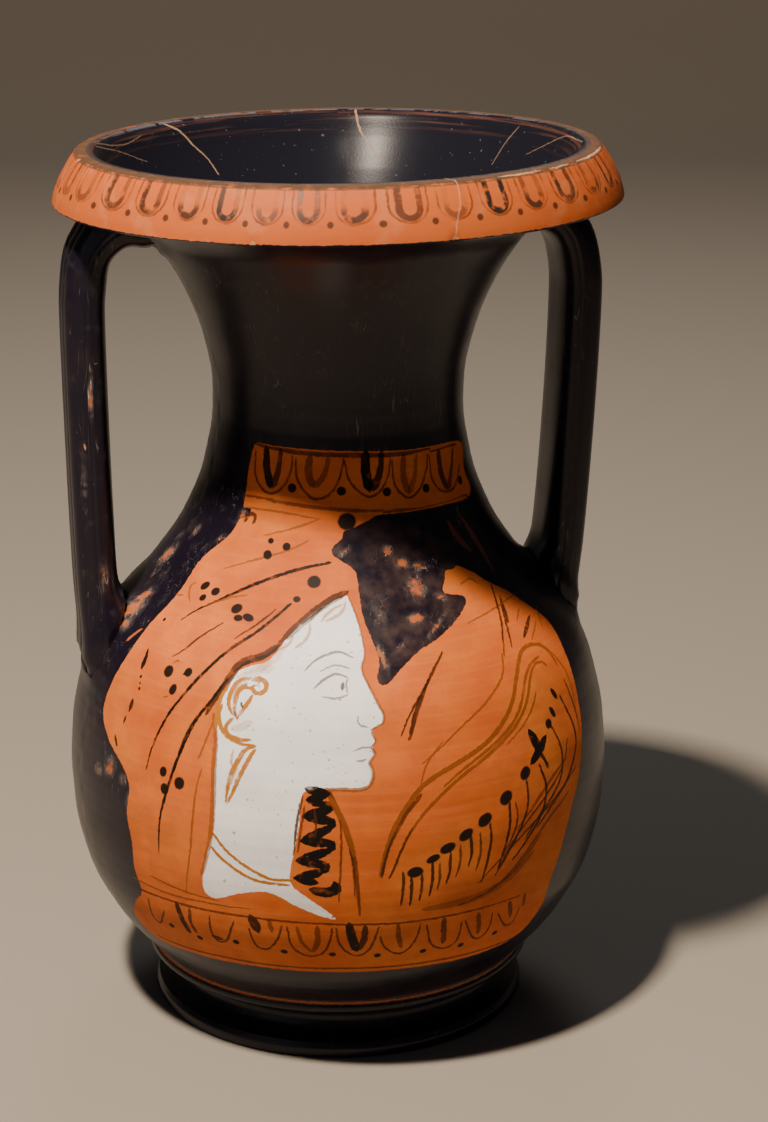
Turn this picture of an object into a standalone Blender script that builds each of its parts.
# A red-figure pelike: a wheel-thrown wine and oil jar of fired clay, with a
# sagging body, a wide neck, an overhanging lip, a low moulded foot and two
# reeded strap handles luted on before firing. Wall, floor, foot and handles
# are one piece of clay, so they are one solid.
#
# Metres, +Z up. The origin is on the axis, at the level the foot rests on.
# The handles lie on the X axis and the main picture side faces -Y.

import math

import bpy
import bmesh
from mathutils import Vector

# Overall sizes
HEIGHT = 0.280
SEGMENTS = 54

# Lip: a ring with a slanted outer face that widens downwards and overhangs
LIP_RADIUS = 0.0879
LIP_TOP_RADIUS = 0.0807
LIP_HEIGHT = 0.0150
LIP_UNDERCUT = 0.0011
LIP_TOP_WIDTH = 0.0066
LIP_EDGE_ROUND = 0.0010
RIM_TILT = math.radians(0.8)

# Neck and body
NECK_RADIUS = 0.0395
NECK_LEVEL = 0.199
FLARE_RADIUS = 0.0590
FLARE_DROP = 0.0092
BELLY_RADIUS = 0.0869
BELLY_LEVEL = 0.080

# Foot: a torus, a hollow moulding over it, and the fillet under the body
FOOT_RADIUS = 0.0608
FOOT_TORUS_HEIGHT = 0.0054
FOOT_WAIST_RADIUS = 0.0530
FOOT_BEAD_HEIGHT = 0.0046
FOOT_JOIN_RADIUS = 0.0620
FOOT_HEIGHT = 0.0210
FOOT_BEAD_PROUD = 0.0006
FOOT_EDGE_ROUND = 0.0016
RESTING_WIDTH = 0.0085

# Clay thickness
WALL = 0.0048
FLOOR = 0.0062

# Handles
HANDLE_WIDTH = 0.0260
HANDLE_THICKNESS = 0.0130
HANDLE_REACH_LEFT = 0.0800
HANDLE_REACH_RIGHT = 0.0764
HANDLE_ROOT_LEFT = 0.0774
HANDLE_ROOT_RIGHT = 0.0700
HANDLE_CORNER_LEFT = 0.0014
HANDLE_CORNER_RIGHT = 0.0006
HANDLE_ROOT_LEVEL = 0.120
ROOT_FILLET = 0.0040
FILLET_RISE = 0.040
END_SPREAD = 0.10
REED_COUNT = 3
REED_DEPTH = 0.0014
STRAP_EDGE_ROUND = 0.0022
HANDLE_BEND = 0.0150
HANDLE_EMBED = 0.0080

# Levels worked out from the sizes above
LIP_EDGE_LEVEL = HEIGHT - LIP_HEIGHT
LIP_UNDER_LEVEL = LIP_EDGE_LEVEL - LIP_UNDERCUT
FLARE_LEVEL = LIP_UNDER_LEVEL - FLARE_DROP
HANDLE_TOP_LEVEL = LIP_UNDER_LEVEL - 0.38 * HANDLE_THICKNESS
CAVITY_FLOOR_LEVEL = FOOT_HEIGHT + WALL
RECESS_ROOF_LEVEL = CAVITY_FLOOR_LEVEL - FLOOR
RESTING_OUTER_RADIUS = FOOT_RADIUS - FOOT_EDGE_ROUND
RESTING_INNER_RADIUS = RESTING_OUTER_RADIUS - RESTING_WIDTH
MOUTH_RADIUS = LIP_TOP_RADIUS - LIP_TOP_WIDTH


def smooth_line(points, steps):
    """A Catmull-Rom curve through the points, with the given steps per span."""
    pts = [Vector(p) for p in points]
    pts = [2 * pts[0] - pts[1]] + pts + [2 * pts[-1] - pts[-2]]
    line = []
    for a, b, c, d in zip(pts, pts[1:], pts[2:], pts[3:]):
        for step in range(steps):
            t = step / steps
            line.append(0.5 * (2 * b + (c - a) * t + (2 * a - 5 * b + 4 * c - d) * t * t
                               + (3 * b - a - 3 * c + d) * t * t * t))
    line.append(pts[-2])
    return line


def body_outline():
    """Outer outline from the foot's fillet to the flare under the lip, upwards."""
    rise = BELLY_LEVEL - FOOT_HEIGHT
    swell = BELLY_RADIUS - FOOT_JOIN_RADIUS
    lower = [(0.00, 0.00), (0.13, 0.29), (0.28, 0.545), (0.48, 0.79), (0.72, 0.945)]
    points = [(FOOT_JOIN_RADIUS + swell * r, FOOT_HEIGHT + rise * z) for z, r in lower]
    rise = NECK_LEVEL - BELLY_LEVEL
    swell = BELLY_RADIUS - NECK_RADIUS
    upper = [(0.00, 1.00), (0.13, 0.985), (0.26, 0.925), (0.385, 0.81), (0.48, 0.632),
             (0.56, 0.445), (0.69, 0.222), (0.83, 0.074), (1.00, 0.0)]
    points += [(NECK_RADIUS + swell * r, BELLY_LEVEL + rise * z) for z, r in upper]
    rise = FLARE_LEVEL - NECK_LEVEL
    swell = FLARE_RADIUS - NECK_RADIUS
    flare = [(0.34, 0.09), (0.70, 0.46), (1.00, 1.00)]
    points += [(NECK_RADIUS + swell * r, NECK_LEVEL + rise * z) for z, r in flare]
    return smooth_line(points, 2)


def foot_outline():
    """Outer outline of the foot, from the inner edge of the resting ring upwards."""
    torus = FOOT_TORUS_HEIGHT
    bead = FOOT_HEIGHT - FOOT_BEAD_HEIGHT
    hollow = bead - torus
    waist = FOOT_WAIST_RADIUS
    torus_depth = FOOT_RADIUS - waist
    bead_depth = FOOT_JOIN_RADIUS - waist
    bead_radius = FOOT_JOIN_RADIUS + FOOT_BEAD_PROUD
    return [Vector(p) for p in (
        (RESTING_INNER_RADIUS, 0.0), (RESTING_OUTER_RADIUS, 0.0), (FOOT_RADIUS, 0.32 * torus),
        (FOOT_RADIUS - 0.04 * torus_depth, 0.68 * torus), (FOOT_RADIUS - 0.33 * torus_depth, torus),
        (waist + 0.13 * torus_depth, torus + 0.24 * hollow), (waist, torus + 0.50 * hollow),
        (waist + 0.29 * bead_depth, torus + 0.82 * hollow), (waist + 0.84 * bead_depth, bead),
        (bead_radius, bead + 0.24 * FOOT_BEAD_HEIGHT), (bead_radius, bead + 0.66 * FOOT_BEAD_HEIGHT),
        (FOOT_JOIN_RADIUS - FOOT_BEAD_PROUD, bead + 0.90 * FOOT_BEAD_HEIGHT))]


def recess_outline():
    """The hollow under the foot, from the axis out to the resting ring."""
    inner = RESTING_INNER_RADIUS
    roof = RECESS_ROOF_LEVEL
    shape = ((0.0, 1.0), (0.55, 0.97), (0.84, 0.84), (0.93, 0.52), (0.965, 0.16))
    return [Vector((inner * r, roof * z)) for r, z in shape]


def lip_outline():
    """The lip's underside, rounded lower edge, slanted face and top, outwards and up."""
    spread = LIP_RADIUS - LIP_TOP_RADIUS
    overhang = LIP_RADIUS - FLARE_RADIUS
    under = LIP_UNDER_LEVEL
    edge = LIP_EDGE_ROUND
    return [Vector(p) for p in (
        (FLARE_RADIUS + 0.28 * overhang, under - 0.35 * FLARE_DROP),
        (FLARE_RADIUS + 0.55 * overhang, under - 0.02 * FLARE_DROP),
        (LIP_RADIUS - 1.8 * edge, under), (LIP_RADIUS - 0.3 * edge, under + 0.40 * LIP_UNDERCUT),
        (LIP_RADIUS, LIP_EDGE_LEVEL), (LIP_TOP_RADIUS + 0.80 * spread, LIP_EDGE_LEVEL + 0.30 * LIP_HEIGHT),
        (LIP_TOP_RADIUS + 0.46 * spread, LIP_EDGE_LEVEL + 0.64 * LIP_HEIGHT),
        (LIP_TOP_RADIUS + 0.4 * edge, HEIGHT - 0.8 * edge), (LIP_TOP_RADIUS - edge, HEIGHT))]


def cavity_outline():
    """The inside, from the lip's inner edge down the wall to the floor."""
    outer = body_outline()[::2]
    inside = []
    for below, here, above in zip(outer, outer[1:], outer[2:]):
        along = (above - below).normalized()
        inside.append(here + WALL * Vector((-along.y, along.x)))
    inside = [p for p in inside if p.y > CAVITY_FLOOR_LEVEL + 0.4 * WALL]
    floor_edge = Vector((inside[0].x - 0.30 * WALL, CAVITY_FLOOR_LEVEL + 0.12 * WALL))
    throat = inside[-1]
    mouth = Vector((MOUTH_RADIUS, HEIGHT))
    bow = Vector((0.20, -0.25)) * WALL
    bowl = [throat.lerp(mouth, share) + bow for share in (0.42, 0.78)]
    top = [mouth - Vector((0.0, 0.8 * LIP_EDGE_ROUND)), mouth + Vector((WALL, WALL))]
    return [Vector((0.0, CAVITY_FLOOR_LEVEL)), floor_edge] + inside + bowl + top


def rim_lift(point):
    """The hand-made lip isn't quite level: it rises towards +X."""
    share = (point.z - NECK_LEVEL) / (LIP_UNDER_LEVEL - NECK_LEVEL)
    share = min(max(share, 0.0), 1.0)
    return math.tan(RIM_TILT) * point.x * share * share * (3 - 2 * share)


def tilt_rim(mesh):
    for vertex in mesh.verts:
        vertex.co.z += rim_lift(vertex.co)


def turned_mesh(outline):
    """Spins an outline into rings and closes both ends with a fan on the axis."""
    mesh = bmesh.new()
    rings = []
    for point in outline:
        ring = []
        for index in range(SEGMENTS):
            angle = 2 * math.pi * index / SEGMENTS
            ring.append(mesh.verts.new((point.x * math.cos(angle), point.x * math.sin(angle), point.y)))
        rings.append(ring)
    for low, high in zip(rings, rings[1:]):
        for index in range(SEGMENTS):
            after = (index + 1) % SEGMENTS
            mesh.faces.new((low[index], low[after], high[after], high[index]))
    for ring, level, flip in ((rings[0], outline[0].y, True), (rings[-1], outline[-1].y, False)):
        centre = mesh.verts.new((0.0, 0.0, level))
        for index in range(SEGMENTS):
            pair = (ring[index], ring[(index + 1) % SEGMENTS])
            mesh.faces.new((centre,) + (pair[::-1] if flip else pair))
    return mesh


def handle_path(reach, root, corner):
    """The strap's middle line in the plane of the handles, from the neck down to the shoulder.

    reach is its radius under the lip, root its radius at the shoulder, and corner
    is how far the bend at the top is pushed out and up.
    """
    top = HANDLE_TOP_LEVEL
    drop = top - HANDLE_ROOT_LEVEL
    lean = root - reach
    bend = HANDLE_BEND
    return smooth_line((
        (FLARE_RADIUS - HANDLE_EMBED, top),
        (reach - bend, top + 0.2 * corner),
        (reach - 0.57 * bend + 0.6 * corner, top - 0.23 * bend + 0.6 * corner),
        (reach - 0.23 * bend + 0.8 * corner, top - 0.65 * bend + 0.5 * corner),
        (reach - 0.03 * bend, top - 0.14 * drop),
        (reach, top - 0.23 * drop),
        (reach + 0.22 * lean, top - 0.50 * drop),
        (reach + 0.55 * lean, top - 0.75 * drop),
        (reach + 0.88 * lean, top - 0.88 * drop),
        (root - 0.18 * HANDLE_EMBED, top - 0.99 * drop),
        (root - 0.80 * HANDLE_EMBED, top - 1.09 * drop)), 2)


def strap_section():
    """Outline across the strap: reeds on the outer face, a plain inner face, round edges."""
    half_width = HANDLE_WIDTH / 2
    half_thick = HANDLE_THICKNESS / 2
    reed = HANDLE_WIDTH / REED_COUNT
    groove_level = half_thick - REED_DEPTH
    points = []
    for index in range(REED_COUNT):
        middle = -half_width + reed * (index + 0.5)
        for share in (-0.5, -0.27, 0.0, 0.27):
            across = middle + share * reed
            crown = REED_DEPTH * (1 - (2 * share) ** 2)
            edge_drop = STRAP_EDGE_ROUND * abs(across / half_width) ** 6
            points.append((across, groove_level + crown - edge_drop))
    points.append((half_width, groove_level - STRAP_EDGE_ROUND))
    points.append((half_width + 0.2 * STRAP_EDGE_ROUND, 0.0))
    for share in (0.94, 0.55, 0.0, -0.55, -0.94):
        points.append((half_width * share, -half_thick + STRAP_EDGE_ROUND * abs(share) ** 4))
    points.append((-half_width - 0.2 * STRAP_EDGE_ROUND, 0.0))
    return points


def strap_mesh(side, path):
    """Sweeps the strap's section down its path; side is +1 or -1 along X."""
    mesh = bmesh.new()
    section = strap_section()
    rings = []
    for index, point in enumerate(path):
        ahead = path[min(index + 1, len(path) - 1)] - path[max(index - 1, 0)]
        along = ahead.normalized()
        outward = Vector((-along.y, along.x))
        spread = 1.0 + END_SPREAD * (1 - math.sin(math.pi * index / (len(path) - 1)))
        near_root = (HANDLE_ROOT_LEVEL + FILLET_RISE - point.y) / (0.75 * FILLET_RISE)
        fillet = 1.0 + min(max(near_root, 0.0), 1.0) * ROOT_FILLET / (HANDLE_THICKNESS / 2)
        ring = []
        for across, thick in section:
            place = point + outward * thick * (fillet if thick < 0 else 1.0)
            ring.append(mesh.verts.new((side * place.x, side * across * spread, place.y)))
        rings.append(ring)
    count = len(section)
    for first, second in zip(rings, rings[1:]):
        for index in range(count):
            after = (index + 1) % count
            mesh.faces.new((first[index], first[after], second[after], second[index]))
    mesh.faces.new(rings[0][::-1])
    mesh.faces.new(rings[-1])
    return mesh


def add_object(name, mesh, cutter=False):
    data = bpy.data.meshes.new(name)
    bmesh.ops.recalc_face_normals(mesh, faces=mesh.faces)
    mesh.to_mesh(data)
    mesh.free()
    obj = bpy.data.objects.new(name, data)
    bpy.context.scene.collection.objects.link(obj)
    if cutter:
        obj.hide_render = True
        obj.display_type = "WIRE"
    return obj


def add_boolean(target, cutter, operation):
    modifier = target.modifiers.new(cutter.name, "BOOLEAN")
    modifier.object = cutter
    modifier.operation = operation
    modifier.solver = "EXACT"


def glaze_material():
    """Black iron glaze on orange clay, as it looks over most of the jar."""
    material = bpy.data.materials.new("black_glaze_on_red_clay")
    material.use_nodes = True
    shader = material.node_tree.nodes["Principled BSDF"]
    shader.inputs["Base Color"].default_value = (0.022, 0.019, 0.021, 1.0)
    shader.inputs["Roughness"].default_value = 0.32
    shader.inputs["Metallic"].default_value = 0.0
    return material


for old in list(bpy.data.objects):
    bpy.data.objects.remove(old, do_unlink=True)

outside = recess_outline() + foot_outline() + body_outline() + lip_outline()
outside_mesh = turned_mesh(outside[1:])
tilt_rim(outside_mesh)
pelike = add_object("pelike", outside_mesh)

left_path = handle_path(HANDLE_REACH_LEFT, HANDLE_ROOT_LEFT, HANDLE_CORNER_LEFT)
right_path = handle_path(HANDLE_REACH_RIGHT, HANDLE_ROOT_RIGHT, HANDLE_CORNER_RIGHT)
for title, side, path in (("left_strap", -1, left_path), ("right_strap", 1, right_path)):
    strap = strap_mesh(side, path)
    tilt_rim(strap)
    add_boolean(pelike, add_object(title, strap, cutter=True), "UNION")

cavity_mesh = turned_mesh(cavity_outline()[1:])
tilt_rim(cavity_mesh)
add_boolean(pelike, add_object("cavity", cavity_mesh, cutter=True), "DIFFERENCE")

pelike.data.materials.append(glaze_material())
pelike.data.shade_smooth()
pelike.data.set_sharp_from_angle(angle=math.radians(35))
